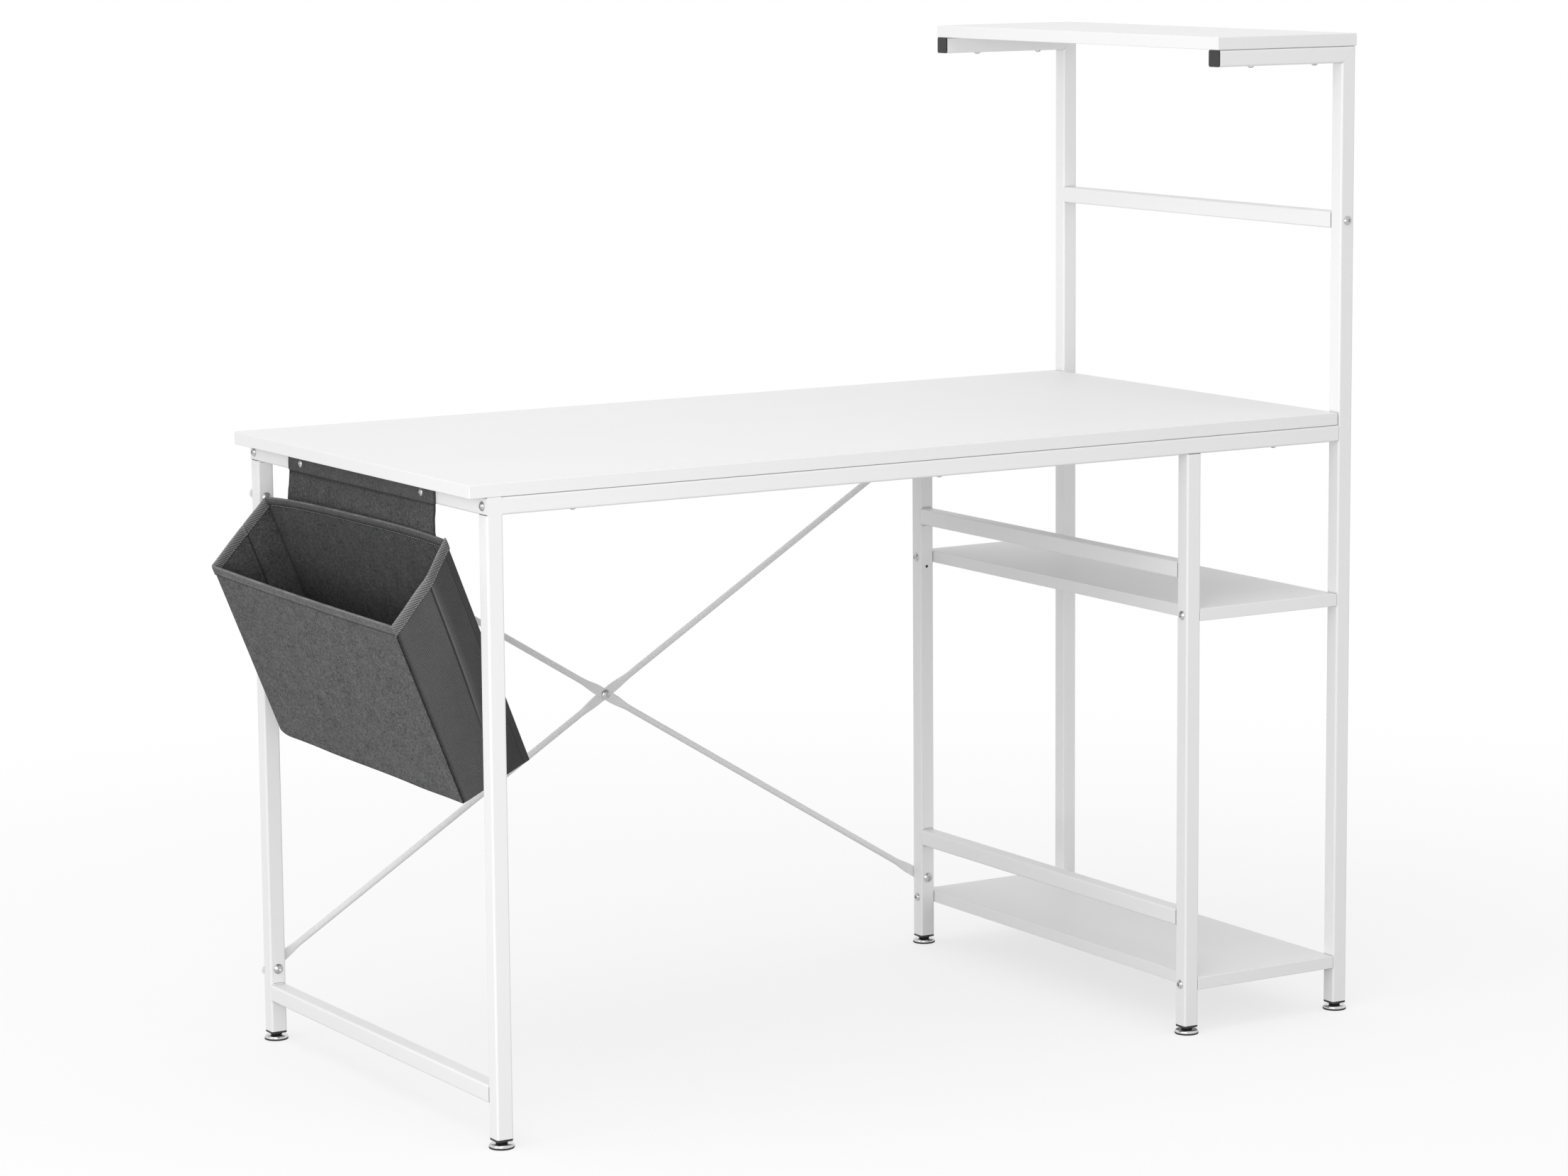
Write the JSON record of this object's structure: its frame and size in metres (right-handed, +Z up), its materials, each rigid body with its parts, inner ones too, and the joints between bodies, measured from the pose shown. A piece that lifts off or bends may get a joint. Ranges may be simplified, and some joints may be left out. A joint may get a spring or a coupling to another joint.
{
  "type": "gaming desk",
  "caption": "White tube-frame desk with a melamine top, a right-hand shelf tower with a raised shelf, a crossed rear brace, levelling feet and a hanging grey fabric pocket.",
  "frame": {"origin": "on the floor under the middle of the desk's overall box", "axes": "+X along the desk from the pocket end to the shelf tower, +Y from the front edge to the back, +Z up"},
  "size_m": [1.26, 0.6148, 1.194],
  "materials": {
    "white_melamine_board": "white melamine-faced particle board with matching edge band, satin",
    "white_powder_coat": "white powder-coated steel tube, satin",
    "zinc_plated_steel": "zinc-plated steel fasteners",
    "polished_zinc": "bright plated pressed steel disc",
    "black_plastic": "moulded black plastic",
    "black_rubber": "black rubber sole",
    "grey_felt": "dark grey pressed felt, stitched",
    "grey_tape": "dark grey twill tape",
    "hardboard": "thin hardboard stiffener inside the fabric"
  },
  "bodies": {
    "desk_frame": {"desktop": "white_melamine_board", "middle_shelf": "white_melamine_board", "lower_shelf": "white_melamine_board", "raised_shelf": "white_melamine_board", "left_top_rail": "white_powder_coat", "left_front_leg": "white_powder_coat", "left_rear_leg": "white_powder_coat", "left_lower_rail": "white_powder_coat", "front_rail": "white_powder_coat", "rear_rail": "white_powder_coat", "inner_front_post": "white_powder_coat", "inner_rear_post": "white_powder_coat", "upper_guard_rail": "white_powder_coat", "lower_guard_rail": "white_powder_coat", "tall_front_post": "white_powder_coat", "tall_rear_post": "white_powder_coat", "front_shelf_arm": "white_powder_coat", "rear_shelf_arm": "white_powder_coat", "tower_cross_rail": "white_powder_coat", "falling_brace_bar": "white_powder_coat", "rising_brace_bar": "white_powder_coat", "frame_bolts": "zinc_plated_steel", "shelf_bolts": "zinc_plated_steel", "brace_bolts": "zinc_plated_steel", "brace_centre_bolt": "zinc_plated_steel", "brace_nuts": "zinc_plated_steel", "nut_plates": "zinc_plated_steel", "shelf_insert_nuts": "zinc_plated_steel", "arm_screws": "zinc_plated_steel", "desktop_screws": "zinc_plated_steel", "pocket_screws": "zinc_plated_steel", "arm_end_caps": "black_plastic", "foot_inserts": "black_plastic", "pocket_flap": "grey_felt"},
    "pocket": {"pocket_back": "grey_felt", "pocket_front": "grey_felt", "pocket_base": "grey_felt", "pocket_front_gusset": "grey_felt", "pocket_rear_gusset": "grey_felt", "pocket_rim_binding": "grey_tape", "pocket_front_board": "hardboard"},
    "left_front_foot": {"left_front_foot_sole": "black_rubber", "left_front_foot_disc": "polished_zinc"},
    "left_front_stud": {"left_front_foot_stud": "zinc_plated_steel"},
    "left_rear_foot": {"left_rear_foot_sole": "black_rubber", "left_rear_foot_disc": "polished_zinc"},
    "left_rear_stud": {"left_rear_foot_stud": "zinc_plated_steel"},
    "inner_front_foot": {"inner_front_foot_sole": "black_rubber", "inner_front_foot_disc": "polished_zinc"},
    "inner_front_stud": {"inner_front_foot_stud": "zinc_plated_steel"},
    "inner_rear_foot": {"inner_rear_foot_sole": "black_rubber", "inner_rear_foot_disc": "polished_zinc"},
    "inner_rear_stud": {"inner_rear_foot_stud": "zinc_plated_steel"},
    "tall_front_foot": {"tall_front_foot_sole": "black_rubber", "tall_front_foot_disc": "polished_zinc"},
    "tall_front_stud": {"tall_front_foot_stud": "zinc_plated_steel"},
    "tall_rear_foot": {"tall_rear_foot_sole": "black_rubber", "tall_rear_foot_disc": "polished_zinc"},
    "tall_rear_stud": {"tall_rear_foot_stud": "zinc_plated_steel"}
  },
  "joints": [
    {"name": "left_front_foot_travel", "type": "slide", "parent": "desk_frame", "child": "left_front_foot", "axis": [0, 0, -1], "range_m": [0, 0.01]},
    {"name": "left_front_stud_turn", "type": "hinge", "parent": "left_front_foot", "child": "left_front_stud", "pos_m": [-0.54378, -0.2931, 0.023], "axis": [0, 0, -1], "range_deg": [0, 2880]},
    {"name": "left_rear_foot_travel", "type": "slide", "parent": "desk_frame", "child": "left_rear_foot", "axis": [0, 0, -1], "range_m": [0, 0.01]},
    {"name": "left_rear_stud_turn", "type": "hinge", "parent": "left_rear_foot", "child": "left_rear_stud", "pos_m": [-0.54378, 0.2869, 0.023], "axis": [0, 0, -1], "range_deg": [0, 2880]},
    {"name": "inner_front_foot_travel", "type": "slide", "parent": "desk_frame", "child": "inner_front_foot", "axis": [0, 0, -1], "range_m": [0, 0.01]},
    {"name": "inner_front_stud_turn", "type": "hinge", "parent": "inner_front_foot", "child": "inner_front_stud", "pos_m": [0.39072, -0.2931, 0.023], "axis": [0, 0, -1], "range_deg": [0, 2880]},
    {"name": "inner_rear_foot_travel", "type": "slide", "parent": "desk_frame", "child": "inner_rear_foot", "axis": [0, 0, -1], "range_m": [0, 0.01]},
    {"name": "inner_rear_stud_turn", "type": "hinge", "parent": "inner_rear_foot", "child": "inner_rear_stud", "pos_m": [0.39072, 0.2869, 0.023], "axis": [0, 0, -1], "range_deg": [0, 2880]},
    {"name": "tall_front_foot_travel", "type": "slide", "parent": "desk_frame", "child": "tall_front_foot", "axis": [0, 0, -1], "range_m": [0, 0.01]},
    {"name": "tall_front_stud_turn", "type": "hinge", "parent": "tall_front_foot", "child": "tall_front_stud", "pos_m": [0.61572, -0.2931, 0.023], "axis": [0, 0, -1], "range_deg": [0, 2880]},
    {"name": "tall_rear_foot_travel", "type": "slide", "parent": "desk_frame", "child": "tall_rear_foot", "axis": [0, 0, -1], "range_m": [0, 0.01]},
    {"name": "tall_rear_stud_turn", "type": "hinge", "parent": "tall_rear_foot", "child": "tall_rear_stud", "pos_m": [0.61572, 0.2869, 0.023], "axis": [0, 0, -1], "range_deg": [0, 2880]},
    {"name": "pocket_swing", "type": "hinge", "parent": "desk_frame", "child": "pocket", "pos_m": [-0.55453, 0.0019, 0.669], "axis": [0, 1, 0], "range_deg": [-25, 45]}
  ],
  "couplings": [
    {"joint": "left_front_stud_turn", "follows": "left_front_foot_travel", "rad_per_m": 5026.5},
    {"joint": "left_rear_stud_turn", "follows": "left_rear_foot_travel", "rad_per_m": 5026.5},
    {"joint": "inner_front_stud_turn", "follows": "inner_front_foot_travel", "rad_per_m": 5026.5},
    {"joint": "inner_rear_stud_turn", "follows": "inner_rear_foot_travel", "rad_per_m": 5026.5},
    {"joint": "tall_front_stud_turn", "follows": "tall_front_foot_travel", "rad_per_m": 5026.5},
    {"joint": "tall_rear_stud_turn", "follows": "tall_rear_foot_travel", "rad_per_m": 5026.5}
  ]
}
